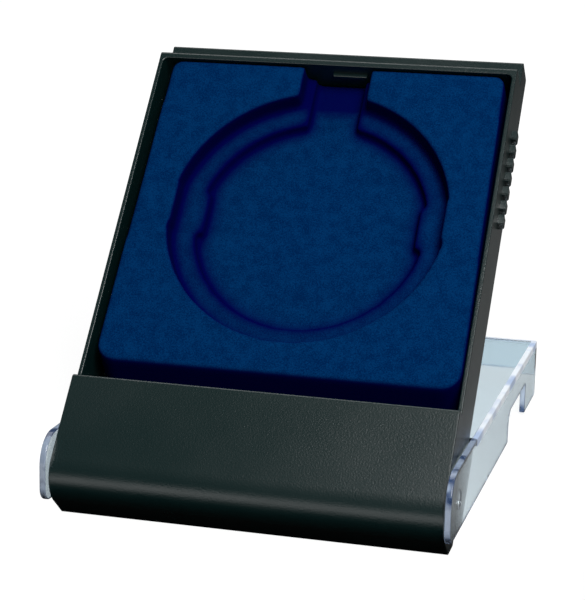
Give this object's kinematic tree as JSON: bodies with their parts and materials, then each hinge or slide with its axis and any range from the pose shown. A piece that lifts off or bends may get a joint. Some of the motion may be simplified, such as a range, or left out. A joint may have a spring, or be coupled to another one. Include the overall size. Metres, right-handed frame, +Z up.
{
  "type": "medal case",
  "caption": "Black moulded medal case with a blue flocked insert and a clear hinged lid that swings round behind the base to be its stand.",
  "frame": {"origin": "on the table, under the middle of the whole object's box, with the case standing on its heel and its lid", "axes": "+Z up, -Y towards the viewer of the medal, +X to the viewer's right; the case leans back towards +Y and the lid lies behind it"},
  "size_m": [0.0986, 0.1351, 0.1014],
  "materials": {
    "black_polystyrene": "satin moulded polystyrene",
    "blue_flock": "short velvet flock on a formed plastic sheet",
    "clear_polystyrene": "clear gloss moulded polystyrene"
  },
  "bodies": {
    "case": {"base_moulding": "black_polystyrene", "flocked_insert": "blue_flock"},
    "lid": {"lid": "clear_polystyrene"}
  },
  "joints": [
    {"name": "lid_hinge", "type": "hinge", "parent": "case", "child": "lid", "pos_m": [0, -0.05519, 0.01253], "axis": [-1, 0, 0], "range_deg": [0, 310.1]}
  ]
}
